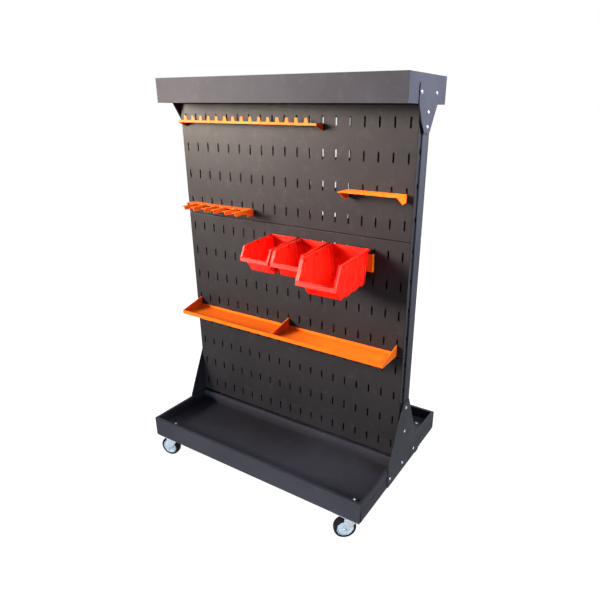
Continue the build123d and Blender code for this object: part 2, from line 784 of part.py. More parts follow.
# Tool holder: a ledge with three pairs of arms, between which long tools hang
arm_row = 3
arm_left_column = 0
arm_right_column = 6
arm_pair_count = 3
arm_pair_pitch = 100
arm_pair_width = 46
arm_reach = 100
arm_width = 14
arm_height = 14
arm_tip_radius = 5
ledge_depth = 33
arm_top_drop = 6.5
arm_cheek_height = 25
arm_left_x = column_x(arm_left_column)
arm_right_x = column_x(arm_right_column)
arm_top_z = row_z(arm_row) - arm_top_drop
arm_front_y = holder_back_y - arm_reach
ledge_front_y = holder_back_y - ledge_depth
arm_edges = [
    arm_right_x + half_cheek - pair * arm_pair_pitch - gap
    for pair in range(arm_pair_count)
    for gap in (0, arm_pair_width)
]
with BuildPart() as tool_holder:
    with BuildSketch(Plane.XY.offset(arm_top_z - holder_sheet)):
        ledge_length = arm_right_x - arm_left_x + holder_sheet
        with Locations(((arm_left_x + arm_right_x) / 2, holder_back_y - ledge_depth / 2)):
            Rectangle(ledge_length, ledge_depth)
        for x in arm_edges:
            with Locations((x - arm_width / 2, holder_back_y - arm_reach / 2)):
                Rectangle(arm_width, arm_reach)
    extrude(amount=holder_sheet)
    for x in arm_edges:
        with BuildSketch(Plane.YZ.offset(x - holder_sheet)):
            with BuildLine():
                Polyline(
                    (ledge_front_y + arm_height, arm_top_z),
                    (arm_front_y, arm_top_z),
                    (arm_front_y, arm_top_z - arm_height + arm_tip_radius),
                    (arm_front_y + arm_tip_radius, arm_top_z - arm_height),
                    (ledge_front_y, arm_top_z - arm_height),
                    close=True,
                )
            make_face()
        extrude(amount=holder_sheet)
    for x in (arm_left_x, arm_right_x):
        with BuildSketch(Plane.YZ.offset(x - half_cheek)):
            with BuildLine():
                Polyline(
                    (ledge_front_y, arm_top_z - arm_cheek_height),
                    (ledge_front_y, arm_top_z),
                    *holder_hook(neck_z(arm_row, half_cheek), arm_top_z),
                    (holder_back_y, arm_top_z - arm_cheek_height),
                    close=True,
                )
            make_face()
        extrude(amount=holder_sheet)
tool_holder.part.label = "tool_holder"
export_step(tool_holder.part, "parts/tool_holder.step")

# Screwdriver holder: a ledge with two rows of holes
driver_row = 2
driver_right_column = column_count - 1
driver_left_column = driver_right_column - 4
driver_depth = 71
driver_top_drop = 3
driver_cheek_rear = 25
driver_cheek_low = 28
driver_chamfer = 26
driver_hole_pitch = 32
driver_front_holes = 6
driver_rear_holes = 5
driver_front_hole_radius = 5.5
driver_rear_hole_radius = 4.5
driver_front_inset = 18
driver_rear_inset = 51
driver_left_x = column_x(driver_left_column)
driver_right_x = column_x(driver_right_column)
driver_middle_x = (driver_left_x + driver_right_x) / 2
driver_top_z = row_z(driver_row) - driver_top_drop
driver_front_y = holder_back_y - driver_depth
with BuildPart() as screwdriver_holder:
    with BuildSketch(Plane.XY.offset(driver_top_z - holder_sheet)):
        with Locations((driver_middle_x, holder_back_y - driver_depth / 2)):
            Rectangle(driver_right_x - driver_left_x + holder_sheet, driver_depth)
        with Locations((driver_middle_x, driver_front_y + driver_front_inset)):
            with GridLocations(driver_hole_pitch, driver_hole_pitch, driver_front_holes, 1):
                Circle(driver_front_hole_radius, mode=Mode.SUBTRACT)
        with Locations((driver_middle_x, driver_front_y + driver_rear_inset)):
            with GridLocations(driver_hole_pitch, driver_hole_pitch, driver_rear_holes, 1):
                Circle(driver_rear_hole_radius, mode=Mode.SUBTRACT)
    extrude(amount=holder_sheet)
    for x in (driver_left_x, driver_right_x):
        with BuildSketch(Plane.YZ.offset(x - half_cheek)):
            with BuildLine():
                Polyline(
                    (driver_front_y, driver_top_z - holder_sheet),
                    (driver_front_y, driver_top_z),
                    *holder_hook(neck_z(driver_row, half_cheek), driver_top_z),
                    (holder_back_y, driver_top_z - driver_cheek_rear),
                    (holder_back_y - driver_chamfer, driver_top_z - driver_cheek_low),
                    close=True,
                )
            make_face()
        extrude(amount=holder_sheet)
screwdriver_holder.part.label = "screwdriver_holder"
export_step(screwdriver_holder.part, "parts/screwdriver_holder.step")

# Two shelves side by side, whose middle cheeks share one slot column
shelf_row = 7
shelf_columns = {"left": (0, middle_column), "right": (middle_column, column_count - 1)}
shelf_depth = 108
shelf_lip = 14.5
shelf_back_lip = 12
shelf_cheek_height = 42
shelf_top_drop = 3
shelf_side_gap = 0.25
shelf_top_z = row_z(shelf_row) - shelf_top_drop
shelf_floor_z = shelf_top_z - shelf_cheek_height
shelf_front_y = holder_back_y - shelf_depth
for name, (first, last) in shelf_columns.items():
    left_x = column_x(first) - half_cheek
    right_x = column_x(last) + half_cheek
    if first == middle_column:
        left_x = column_x(first) + shelf_side_gap
    if last == middle_column:
        right_x = column_x(last) - shelf_side_gap
    with BuildPart() as shelf:
        with BuildSketch(Plane.XY.offset(shelf_floor_z)):
            with Locations(((left_x + right_x) / 2, holder_back_y - shelf_depth / 2)):
                Rectangle(right_x - left_x, shelf_depth)
        extrude(amount=holder_sheet)
        with BuildSketch(Plane.YZ.offset(left_x)):
            with Locations((shelf_front_y + holder_sheet / 2, shelf_floor_z + shelf_lip / 2)):
                Rectangle(holder_sheet, shelf_lip)
            with Locations((holder_back_y - holder_sheet / 2, shelf_floor_z + shelf_back_lip / 2)):
                Rectangle(holder_sheet, shelf_back_lip)
        extrude(amount=right_x - left_x)
        for x in (left_x, right_x - holder_sheet):
            with BuildSketch(Plane.YZ.offset(x)):
                with BuildLine():
                    Polyline(
                        (shelf_front_y, shelf_floor_z),
                        (shelf_front_y, shelf_floor_z + shelf_lip),
                        (holder_back_y, shelf_top_z),
                        *holder_hook(neck_z(shelf_row, shelf_side_gap + holder_sheet), shelf_top_z),
                        (holder_back_y, shelf_floor_z),
                        close=True,
                    )
                make_face()
            extrude(amount=holder_sheet)
    shelf.part.label = f"shelf_{name}"
    export_step(shelf.part, f"parts/shelf_{name}.step")

# Rail that the bins hang on
bin_row = 4
rail_left_column = middle_column - 1
rail_right_column = rail_left_column + 8
bin_rail_depth = 12
bin_rail_height = 60
bin_rail_top_drop = 2
bin_rail_left_x = column_x(rail_left_column)
bin_rail_right_x = column_x(rail_right_column)
bin_rail_top_z = row_z(bin_row) - bin_rail_top_drop
bin_rail_bottom_z = bin_rail_top_z - bin_rail_height
bin_rail_face_y = holder_back_y - bin_rail_depth
with BuildPart() as bin_rail:
    with BuildSketch(Plane.YZ.offset(bin_rail_left_x - half_cheek)):
        with Locations((bin_rail_face_y + holder_sheet / 2, (bin_rail_top_z + bin_rail_bottom_z) / 2)):
            Rectangle(holder_sheet, bin_rail_height)
        with Locations((holder_back_y - bin_rail_depth / 2, bin_rail_bottom_z + holder_sheet / 2)):
            Rectangle(bin_rail_depth, holder_sheet)
    extrude(amount=bin_rail_right_x - bin_rail_left_x + holder_sheet)
    for x in (bin_rail_left_x, bin_rail_right_x):
        with BuildSketch(Plane.YZ.offset(x - half_cheek)):
            with BuildLine():
                Polyline(
                    (bin_rail_face_y, bin_rail_bottom_z),
                    (bin_rail_face_y, bin_rail_top_z),
                    *holder_hook(neck_z(bin_row, half_cheek), bin_rail_top_z),
                    (holder_back_y, bin_rail_bottom_z),
                    close=True,
                )
            make_face()
        extrude(amount=holder_sheet)
bin_rail.part.label = "bin_rail"
export_step(bin_rail.part, "parts/bin_rail.step")

# Bins: moulded shells with stepped sides, a sloping mouth, a folded rim and a lip over the rail
bin_wall = 2
bin_rim_width = 3.5
bin_rim_plate = (2, -2)
bin_rim_skirt = (4, -6)
bin_rise = 18
bin_lip_drop = 8
bin_lip_inset = 13
bin_pleats = 4
bin_pleat_step = 2
bin_back_y = bin_rail_face_y - seat_gap
bin_top_z = bin_rail_top_z + bin_rise
small_bin_side = [(0, 0), (152.5, 11.5), (172, 48), (174, 61), (125, 101), (0, 91)]
large_bin_side = [(0, 0), (185, 13.5), (213, 76), (216, 90), (160, 132), (0, 119.5)]
# Distance from the rail's left end, width at the rim, width at the foot, and the side's
# corners, which start at the rear top and run round by the mouth, as forward and drop
bins = {
    "left": (48.5, 118, 97, small_bin_side),
    "middle": (175, 118, 97, small_bin_side),
    "right": (318, 148, 121, large_bin_side),
}


def stepped_plan(half, depth, inset):
    """Plan outline of a bin that narrows by one step at each pleat towards the front."""
    pleat = depth / bin_pleats
    right = []
    for k in range(bin_pleats):
        x = half - k * bin_pleat_step - inset
        rear = bin_back_y - k * pleat + (inset if k > 0 else -inset)
        front = bin_back_y - (k + 1) * pleat + inset
        right += [(x, rear), (x, front)]
    left = [(-x, y) for x, y in reversed(right)]
    return right + left


def keep_inside_plan(bin_x, width, foot_width, side_corners, inset):
    """Trim the part to the bin's tapering plan, drawn in by the inset."""
    depth = max(forward for forward, drop in side_corners)
    height = max(drop for forward, drop in side_corners)
    top_half = width / 2 - bin_rim_width
    plans = []
    for half, z in ((foot_width / 2, bin_top_z - height), (top_half, bin_top_z)):
        with BuildSketch(Plane(origin=(bin_x, 0, z))) as plan:
            with BuildLine():
                Polyline(*stepped_plan(half, depth, inset), close=True)
            make_face()
        plans.append(plan.sketch)
    loft(sections=plans, ruled=True, mode=Mode.INTERSECT)


for name, (bin_offset, width, foot_width, side_corners) in bins.items():
    corners = [(bin_back_y - forward, bin_top_z - drop) for forward, drop in side_corners]
    lip_y, lip_z = corners[2]
    inner_back_y = bin_back_y - bin_wall
    bin_x = bin_rail_left_x + bin_offset
    low_x = bin_x - width / 2
    with BuildPart() as bin_hollow:
        with BuildSketch(Plane.YZ.offset(low_x)):
            with BuildLine():
                Polyline(*corners, close=True)
            make_face()
            offset(amount=-bin_wall)
            with BuildLine():
                Polyline(
                    (inner_back_y, lip_z - bin_wall),
                    (lip_y + bin_wall, lip_z - bin_wall),
                    (lip_y + bin_wall, lip_z),
                    (lip_y - bin_wall, lip_z),
                    (lip_y - bin_wall, bin_top_z),
                    (inner_back_y, bin_top_z),
                    close=True,
                )
            make_face()
        extrude(amount=width)
        keep_inside_plan(bin_x, width, foot_width, side_corners, bin_wall)
    rim_pieces = [
        (bin_rim_plate, low_x, width),
        (bin_rim_skirt, low_x, bin_wall),
        (bin_rim_skirt, low_x + width - bin_wall, bin_wall),
    ]
    with BuildPart() as storage_bin:
        with BuildSketch(Plane.YZ.offset(low_x)):
            with BuildLine():
                Polyline(*corners, close=True)
            make_face()
        extrude(amount=width)
        keep_inside_plan(bin_x, width, foot_width, side_corners, 0)
        for shift, start, length in rim_pieces:
            with BuildSketch(Plane.YZ.offset(start)):
                with BuildLine():
                    Polyline(*corners, close=True)
                make_face()
                with BuildLine():
                    Polyline(*[(y + shift[0], z + shift[1]) for y, z in corners], close=True)
                make_face(mode=Mode.SUBTRACT)
            extrude(amount=length)
        add(bin_hollow.part, mode=Mode.SUBTRACT)
        with BuildSketch(Plane.YZ.offset(low_x + bin_lip_inset)):
            with BuildLine():
                seat_z = bin_rail_top_z + seat_gap
                lip_back_y = bin_rail_face_y + holder_sheet + seat_gap
                Polyline(
                    (bin_back_y - bin_wall / 2, seat_z),
                    (lip_back_y, seat_z),
                    (lip_back_y, seat_z - bin_lip_drop),
                    (lip_back_y + bin_wall, seat_z - bin_lip_drop),
                    (lip_back_y + bin_wall, seat_z + bin_wall),
                    (bin_back_y - bin_wall / 2, seat_z + bin_wall),
                    close=True,
                )
            make_face()
        extrude(amount=width - 2 * bin_lip_inset)
    storage_bin.part.label = f"bin_{name}"
    export_step(storage_bin.part, f"parts/bin_{name}.step")
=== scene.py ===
import bmesh
import bpy
import json
from math import cos, pi, radians, sin
from mathutils import Matrix, Vector


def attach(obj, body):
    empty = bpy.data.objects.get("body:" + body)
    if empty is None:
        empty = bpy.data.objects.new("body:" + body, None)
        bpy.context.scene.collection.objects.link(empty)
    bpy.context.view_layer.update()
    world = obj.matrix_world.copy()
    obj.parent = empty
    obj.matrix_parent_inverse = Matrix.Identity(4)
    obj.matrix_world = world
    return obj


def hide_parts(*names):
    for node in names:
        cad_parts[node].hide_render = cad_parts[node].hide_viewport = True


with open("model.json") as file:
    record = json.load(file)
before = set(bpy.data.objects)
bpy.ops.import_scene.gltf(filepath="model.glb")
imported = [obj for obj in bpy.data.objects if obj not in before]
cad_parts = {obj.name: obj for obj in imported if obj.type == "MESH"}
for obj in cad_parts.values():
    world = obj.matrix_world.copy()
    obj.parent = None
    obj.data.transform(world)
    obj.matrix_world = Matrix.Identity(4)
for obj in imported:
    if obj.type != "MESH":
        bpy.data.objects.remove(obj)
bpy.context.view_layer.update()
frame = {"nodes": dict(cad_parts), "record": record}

# Camera, at the photograph's viewing angle: metres, degrees and pixels
CAMERA_PLACE = (1.07372, -1.51120, 1.36915)
CAMERA_YAW = 31.257
CAMERA_DOWN = 21.755
CAMERA_ROLL = 0.579
FOCAL_PIXELS = 514.578
CENTRE_PIXELS = (329.482, 315.875)
FRAME_PIXELS = 600
SENSOR_WIDTH = 36
CLIP_END = 100


def make_camera():
    data = bpy.data.cameras.new("camera")
    data.sensor_width = SENSOR_WIDTH
    data.lens = FOCAL_PIXELS / FRAME_PIXELS * SENSOR_WIDTH
    data.shift_x = (FRAME_PIXELS / 2 - CENTRE_PIXELS[0]) / FRAME_PIXELS
    data.shift_y = (CENTRE_PIXELS[1] - FRAME_PIXELS / 2) / FRAME_PIXELS
    data.clip_end = CLIP_END
    camera = bpy.data.objects.new("camera", data)
    bpy.context.scene.collection.objects.link(camera)
    yaw, down, roll = radians(CAMERA_YAW), radians(CAMERA_DOWN), radians(CAMERA_ROLL)
    forward = Vector((-sin(yaw) * cos(down), cos(yaw) * cos(down), -sin(down)))
    level = Vector((cos(yaw), sin(yaw), 0))
    upward = level.cross(forward)
    right = cos(roll) * level + sin(roll) * upward
    up = right.cross(forward)
    turn = Matrix((right, up, -forward)).transposed().to_4x4()
    camera.matrix_world = Matrix.Translation(CAMERA_PLACE) @ turn
    bpy.context.scene.camera = camera


make_camera()

# Sockets of a mix node in colour mode
MIX_FACTOR, MIX_FIRST, MIX_SECOND, MIX_RESULT = 0, 6, 7, 2


class Shader:
    """A Principled material whose nodes are added one by one."""

    def __init__(self, name):
        self.material = bpy.data.materials.new(name)
        self.material.use_nodes = True
        self.tree = self.material.node_tree
        self.nodes = self.tree.nodes
        self.surface = self.nodes["Principled BSDF"]
        self.place = self.nodes.new("ShaderNodeTexCoord").outputs["Object"]

    def link(self, source, target):
        self.tree.links.new(source, target)

    def noise(self, scale, detail, stretch=None):
        place = self.place
        if stretch:
            mapping = self.nodes.new("ShaderNodeMapping")
            mapping.inputs["Scale"].default_value = stretch
            self.link(self.place, mapping.inputs["Vector"])
            place = mapping.outputs["Vector"]
        node = self.nodes.new("ShaderNodeTexNoise")
        node.inputs["Scale"].default_value = scale
        node.inputs["Detail"].default_value = detail
        self.link(place, node.inputs["Vector"])
        return node.outputs["Fac"]

    def ramp(self, value, low, high):
        """Blend between two stops, each a position with a colour or a grey."""
        node = self.nodes.new("ShaderNodeValToRGB")
        for element, (position, colour) in zip(node.color_ramp.elements, (low, high)):
            rgb = colour if isinstance(colour, tuple) else (colour,) * 3
            element.position = position
            element.color = (*rgb, 1)
        self.link(value, node.inputs["Fac"])
        return node.outputs["Color"]

    def mix(self, factor, first, second):
        """Blend from one colour to another. A colour is a tuple or an output."""
        node = self.nodes.new("ShaderNodeMix")
        node.data_type = "RGBA"
        self.link(factor, node.inputs[MIX_FACTOR])
        for colour, socket in ((first, node.inputs[MIX_FIRST]), (second, node.inputs[MIX_SECOND])):
            if isinstance(colour, tuple):
                socket.default_value = (*colour, 1)
            else:
                self.link(colour, socket)
        return node.outputs[MIX_RESULT]

    def bump(self, height, distance, strength):
        node = self.nodes.new("ShaderNodeBump")
        node.inputs["Strength"].default_value = strength
        node.inputs["Distance"].default_value = distance
        self.link(height, node.inputs["Height"])
        return node.outputs["Normal"]

    def finish(self, colour, rough, normal, **constants):
        for value, name in ((colour, "Base Color"), (rough, "Roughness"), (normal, "Normal")):
            self.link(value, self.surface.inputs[name])
        for name, value in constants.items():
            self.surface.inputs[name.replace("_", " ")].default_value = value
        return self.material


# Materials. Colours are linear, distances in metres, rough is a lowest and a highest roughness.
DUST = 0.04
DUST_COLOUR = (0.30, 0.28, 0.26)
PLASTIC_GLOSS = 0.24
PLASTIC_DEPTH = 0.012
PLASTIC_DEPTH_SHARES = (1.0, 0.12, 0.06)
RUBBER_GLOSS = 0.10


def scaled(colour, factor):
    return tuple(min(1.0, c * factor) for c in colour)


def powder_coat(name, colour, rough, gloss):
    """Fine-textured powder coat with cloudy gloss, light handling marks and a little dust. The
    raised points of its grain are painted paler, which is a painted highlight.
    """
    s = Shader(name)
    cloud = s.noise(scale=5, detail=4)
    grain_height = s.noise(scale=1400, detail=2)
    base = s.ramp(cloud, (0.3, scaled(colour, 0.86)), (0.7, scaled(colour, 1.14)))
    # Painted highlight: the coat is painted paler where the bump below raises the grain, so the
    # pits between read as painted shade.
    grain_painted_paler = s.mix(s.ramp(grain_height, (0.35, 0.0), (0.75, 0.35)), base, scaled(colour, 1.5))
    dusty = s.ramp(s.noise(scale=38, detail=8), (0.56, 0.0), (0.80, DUST))
    shown = s.mix(dusty, grain_painted_paler, DUST_COLOUR)
    uneven = s.ramp(s.noise(scale=11, detail=5), (0.3, rough[0]), (0.7, rough[1]))
    normal = s.bump(grain_height, distance=0.0004, strength=0.30)
    return s.finish(shown, uneven, normal, Specular_IOR_Level=gloss)


def moulded(name, colour, rough, through):
    """Moulded plastic with faint flow marks and uneven gloss. A share of it lets light through."""
    s = Shader(name)
    flow = s.noise(scale=14, detail=3, stretch=(1, 1, 0.35))
    base = s.ramp(flow, (0.3, scaled(colour, 0.93)), (0.7, scaled(colour, 1.05)))
    uneven = s.ramp(s.noise(scale=60, detail=4), (0.3, rough[0]), (0.7, rough[1]))
    normal = s.bump(s.noise(scale=60, detail=2), distance=0.0003, strength=0.10)
    return s.finish(
        base, uneven, normal, Specular_IOR_Level=PLASTIC_GLOSS, Subsurface_Weight=through,
        Subsurface_Radius=PLASTIC_DEPTH_SHARES, Subsurface_Scale=PLASTIC_DEPTH,
    )


def zinc(name, colour):
    """Zinc plate with a mottled spangle and dull spots."""
    s = Shader(name)
    spangle = s.noise(scale=160, detail=5)
    base = s.ramp(spangle, (0.3, scaled(colour, 0.80)), (0.7, scaled(colour, 1.10)))
    stain = s.ramp(s.noise(scale=45, detail=6), (0.55, 0.0), (0.78, 0.35))
    shown = s.mix(stain, base, scaled(colour, 0.45))
    uneven = s.ramp(spangle, (0.3, 0.24), (0.7, 0.42))
    normal = s.bump(s.noise(scale=700, detail=2), distance=0.0002, strength=0.15)
    return s.finish(shown, uneven, normal, Metallic=1.0)


def rubber(name, colour):
    """Moulded rubber, scuffed paler in patches, with ground-in grit."""
    s = Shader(name)
    wear = s.ramp(s.noise(scale=70, detail=6), (0.45, 0.0), (0.8, 0.5))
    shown = s.mix(wear, colour, scaled(colour, 3.2))
    uneven = s.ramp(s.noise(scale=90, detail=4), (0.3, 0.55), (0.7, 0.85))
    normal = s.bump(s.noise(scale=900, detail=3), distance=0.0004, strength=0.4)
    return s.finish(shown, uneven, normal, Specular_IOR_Level=RUBBER_GLOSS)


SLOT_MATERIALS = {
    "panel_steel": powder_coat("panel_coat", (0.021, 0.020, 0.023), (0.34, 0.44), gloss=0.09),
    # The frame coat is the dark coat made lighter and bluer than the panel coat: partly its own
    # colour, partly a painted bluish fill light on the frame.
    "frame_steel": powder_coat("frame_coat_painted_fill", (0.040, 0.041, 0.052), (0.36, 0.46), gloss=0.025),
    "holder_orange": powder_coat("orange_coat", (0.93, 0.155, 0.010), (0.32, 0.44), gloss=0.07),
    "bin_plastic": moulded("bin_plastic", (0.88, 0.014, 0.005), (0.28, 0.38), through=0.9),
    "wheel_plastic": moulded("core_plastic", (0.52, 0.62, 0.69), (0.34, 0.48), through=0),
    "zinc": zinc("bright_zinc", (0.52, 0.59, 0.65)),
    "tyre_rubber": rubber("tyre_rubber", (0.008, 0.008, 0.009)),
}
NODE_SLOTS = {entry["node"]: entry["material_slot"] for entry in frame["record"]["subparts"]}
NODE_BODIES = {
    node: body
    for body, nodes in frame["record"]["behaviour"]["bodies"].items()
    for node in nodes
}


def paint(piece, material):
    piece.data.materials.clear()
    piece.data.materials.append(material)


for node, piece in frame["nodes"].items():
    paint(piece, SLOT_MATERIALS[NODE_SLOTS[node]])

# Drawing helpers, in millimetres and degrees
ALONG_X, ALONG_Y = 0, 1
SHARP_ANGLE = 35


def round_edges(piece, width, segments, angle=30):
    bevel = piece.modifiers.new("bevel", "BEVEL")
    bevel.width = width / 1000
    bevel.segments = segments
    bevel.limit_method = "ANGLE"
    bevel.angle_limit = radians(angle)


def finish_piece(bm, node, place=Matrix.Identity(4)):
    """Turn a mesh drawn in millimetres into the piece that stands for a node."""
    bmesh.ops.recalc_face_normals(bm, faces=bm.faces)
    bmesh.ops.transform(bm, matrix=Matrix.Scale(0.001, 4) @ place, verts=bm.verts)
    mesh = bpy.data.meshes.new("shown_" + node)
    bm.to_mesh(mesh)
    bm.free()
    mesh.shade_smooth()
    mesh.set_sharp_from_angle(angle=radians(SHARP_ANGLE))
    piece = bpy.data.objects.new("shown_" + node, mesh)
    bpy.context.scene.collection.objects.link(piece)
    paint(piece, SLOT_MATERIALS[NODE_SLOTS[node]])
    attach(piece, NODE_BODIES[node])
    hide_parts(node)
    return piece


def bridge(bm, low, high):
    """Join two closed loops of as many corners with a band of faces."""
    for k in range(len(low)):
        m = (k + 1) % len(low)
        bm.faces.new((low[k], high[k], high[m], low[m]))


def prism(bm, outline, axis, near, far):
    """Draw out an outline: (y, z) points along X or (x, z) points along Y."""
    low, high = (
        [bm.verts.new((*point[:axis], along, *point[axis:])) for point in outline]
        for along in (near, far)
    )
    bm.faces.new(low)
    bm.faces.new(reversed(high))
    bridge(bm, low, high)


def turned(bm, profile, segments, place=Matrix.Identity(4)):
    """Turn a profile of (radius, height) points round Z. A radius of 0 closes it."""
    rings = []
    for radius, height in profile:
        count = segments if radius > 0 else 1
        angles = [2 * pi * k / segments for k in range(count)]
        points = [Vector((radius * cos(a), radius * sin(a), height)) for a in angles]
        rings.append([bm.verts.new(place @ point) for point in points])
    for low, high in zip(rings, rings[1:]):
        for k in range(segments):
            m = (k + 1) % segments
            around = ((low, k), (low, m), (high, m), (high, k))
            corners = list(dict.fromkeys(ring[step % len(ring)] for ring, step in around))
            if len(corners) > 2:
                bm.faces.new(corners)


# Bins. A bin is drawn as (forward, drop) points from its rear top edge, which stands here.
BIN_BACK_Y = -54.6
BIN_TOP_Z = 955
BIN_WALL = 2
BIN_INSET = 3.5

# Pleats of the sides: length, run of the fold, depths at the rim and at the foot, share of a
# pleat in front of the first fold, least distance of a fold from another corner
PLEAT_LENGTH = 48.5
PLEAT_STEP = 9
PLEAT_DEPTH = (4, 7.5)
FRONT_PLEAT = 0.86
FOLD_CLEARANCE = 2

# Mouth, underside and front lip of each size
SMALL_BIN = (
    [(0, 0), (152.5, 11.5), (172, 48)],
    [(0, 91), (125, 101), (164, 52), (172, 49)],
    [(172, 48), (174, 61)],
)
LARGE_BIN = (
    [(0, 0), (185, 13.5), (213, 76)],
    [(0, 119.5), (160, 132), (205, 80), (213, 77)],
    [(213, 76), (216, 90)],
)

# Middle, width at the rim, width at the foot, size
BINS = {
    "bin_left": (-1.5, 118, 99, SMALL_BIN),
    "bin_middle": (125, 118, 99, SMALL_BIN),
    "bin_right": (268, 148, 125, LARGE_BIN),
}

# Cross sections of the edge strips, each from one shift to another off the line it follows
RIM_SECTION = ((0, 0), (-2, 2))
SKIRT_SECTION = ((0, 1), (-4, 5.5))
BACK_SECTION = ((0, 0), (0, 2.4))
LIP_SECTION = ((-2.4, 0), (0.6, 0))
SILL_SECTION = ((0, 0), (0, 2))
RIB_SECTION = ((0, 1), (0, 10))
RIM_WIDTH = 6
SKIRT_WIDTH = 1.8
BACK_REACH = 3.2
SILL_REACH = (-7, 1)

# Pairs of ribs that hold a divider
RIB_SHARES = (0.14, 0.55, 0.95)
RIB_GAP = 5
RIB_HALF = 1
RIB_INSET = 5
RIB_REACH = 8

# Hook over the rail: inset from the bin's sides, height over the rail, sheet, drop of its leg,
# the two faces of the leg, overlap with the bin's back
HOOK_INSET = 13
HOOK_Z = 937.3
HOOK_SHEET = 2
HOOK_DROP = 8
HOOK_LEG = (2.6, 4.6)
HOOK_OVERLAP = 1


def between(points, forward):
    """Drop of a line of (forward, drop) points at a forward distance."""
    for (f0, d0), (f1, d1) in zip(points, points[1:]):
        if f0 <= forward <= f1:
            return d0 + (d1 - d0) * (forward - f0) / (f1 - f0)
    return points[-1][1]


def pleat_share(forward, folds):
    """How far the wall is folded in: 0 on the outer line of the pleats, 1 at their inner end."""
    start = max([f for f in folds[1::2] if f <= forward], default=folds[1] - PLEAT_LENGTH)
    run = PLEAT_LENGTH - PLEAT_STEP
    if forward - start <= run:
        return 1 - (forward - start) / run
    return (forward - start - run) / PLEAT_STEP


def pleat_stations(depth, corners):
    """Forward distances where the wall turns, each with its pleat share."""
    folds = []
    step = depth - PLEAT_LENGTH * FRONT_PLEAT
    while step > 0:
        folds = [step, step + PLEAT_STEP] + folds
        step -= PLEAT_LENGTH
    free = [c for c in corners if all(abs(c - f) > FOLD_CLEARANCE for f in folds)]
    places = sorted({0, depth, *folds, *free})
    return [(forward, pleat_share(forward, folds)) for forward in places]


def bin_shell(bm, middle, width, foot, mouth, under):
    """Pleated sides, sloping floor, back and front, as one open skin."""
    depth = mouth[-1][0]
    height = max(drop for forward, drop in under)
    corners = [forward for forward, drop in (mouth + under)[1:]]
    rows = []
    for forward, share in pleat_stations(depth, corners):
        row = []
        for side, line in ((-1, mouth), (-1, under), (1, under), (1, mouth)):
            drop = between(line, forward)
            low = drop / height
            half = foot / 2 * low + (width / 2 - BIN_INSET) * (1 - low)
            half -= share * (PLEAT_DEPTH[0] + (PLEAT_DEPTH[1] - PLEAT_DEPTH[0]) * low)
            corner = (middle + side * half, BIN_BACK_Y - forward, BIN_TOP_Z - drop)
            row.append(bm.verts.new(corner))
        rows.append(row)
    for rear, front in zip(rows, rows[1:]):
        for k in range(3):
            bm.faces.new((rear[k], rear[k + 1], front[k + 1], front[k]))
    bm.faces.new(rows[0])


def strip(bm, points, section, low, high):
    """A strip that follows a line of points, from low to high along X."""
    inner, outer = section
    near = [(f + inner[0], d + inner[1]) for f, d in points]
    far = [(f + outer[0], d + outer[1]) for f, d in points]
    outline = [(BIN_BACK_Y - f, BIN_TOP_Z - d) for f, d in near + far[::-1]]
    prism(bm, outline, ALONG_X, low, high)


def bin_rim(bm, middle, width, mouth, lip):
    """Side rims with their skirts, rear rim, front lip with its sill, and ribs."""
    low, high = middle - width / 2, middle + width / 2
    for start in (low, high - RIM_WIDTH):
        strip(bm, mouth, RIM_SECTION, start, start + RIM_WIDTH)
    for start in (low, high - SKIRT_WIDTH):
        strip(bm, mouth, SKIRT_SECTION, start, start + SKIRT_WIDTH)
    strip(bm, [(0, 0), (BACK_REACH, 0)], BACK_SECTION, low, low + width)
    strip(bm, lip, LIP_SECTION, low, low + width)
    front, top = lip[0]
    sill = [(front + reach, top) for reach in SILL_REACH]
    strip(bm, sill, SILL_SECTION, low, low + width)
    for share in RIB_SHARES:
        forward = mouth[1][0] * share
        drop = between(mouth, forward)
        for start in (low + RIB_INSET, high - RIB_INSET - RIB_REACH):
            for gap in (-RIB_GAP, RIB_GAP):
                near = forward + gap - RIB_HALF
                rib = [(near, drop), (near + 2 * RIB_HALF, drop)]
                strip(bm, rib, RIB_SECTION, start, start + RIB_REACH)


def bin_hook(bm, middle, width):
    """Hook that hangs over the rail."""
    rear, inner, outer = (BIN_BACK_Y + shift for shift in (-HOOK_OVERLAP, *HOOK_LEG))
    foot, top = HOOK_Z - HOOK_DROP, HOOK_Z + HOOK_SHEET
    outline = [(rear, HOOK_Z), (inner, HOOK_Z), (inner, foot)]
    outline += [(outer, foot), (outer, top), (rear, top)]
    start = middle - width / 2 + HOOK_INSET
    prism(bm, outline, ALONG_X, start, start + width - 2 * HOOK_INSET)


for node, (middle, width, foot, (mouth, under, lip)) in BINS.items():
    skin = bmesh.new()
    bin_shell(skin, middle, width, foot, mouth, under)
    bmesh.ops.recalc_face_normals(skin, faces=skin.faces)
    bmesh.ops.solidify(skin, geom=skin.faces[:], thickness=BIN_WALL)
    bin_rim(skin, middle, width, mouth, lip)
    bin_hook(skin, middle, width)
    round_edges(finish_piece(skin, node), width=0.8, segments=3)

# Walls of the top tray, with their upper edge folded in
TRAY_HALF = (480, 142)
TRAY_FOOT = 1389
TRAY_EDGE = 1469
TRAY_SHEET = 1.5
TRAY_FOLD = 7
TRAY_PROFILE = [
    (0, TRAY_FOOT), (0, TRAY_EDGE), (TRAY_FOLD, TRAY_EDGE), (TRAY_FOLD, TRAY_EDGE - TRAY_SHEET),
    (TRAY_SHEET, TRAY_EDGE - TRAY_SHEET), (TRAY_SHEET, TRAY_FOOT),
]


def swept_walls(bm, profile):
    """Sweep a closed profile of (inset, z) points round the tray's rectangle."""
    loops = []
    for inset, z in profile:
        x, y = TRAY_HALF[0] - inset, TRAY_HALF[1] - inset
        corners = ((-x, -y, z), (x, -y, z), (x, y, z), (-x, y, z))
        loops.append([bm.verts.new(corner) for corner in corners])
    for low, high in zip(loops, loops[1:] + loops[:1]):
        bridge(bm, low, high)


walls = bmesh.new()
swept_walls(walls, TRAY_PROFILE)
round_edges(finish_piece(walls, "top_tray"), width=1.2, segments=3)

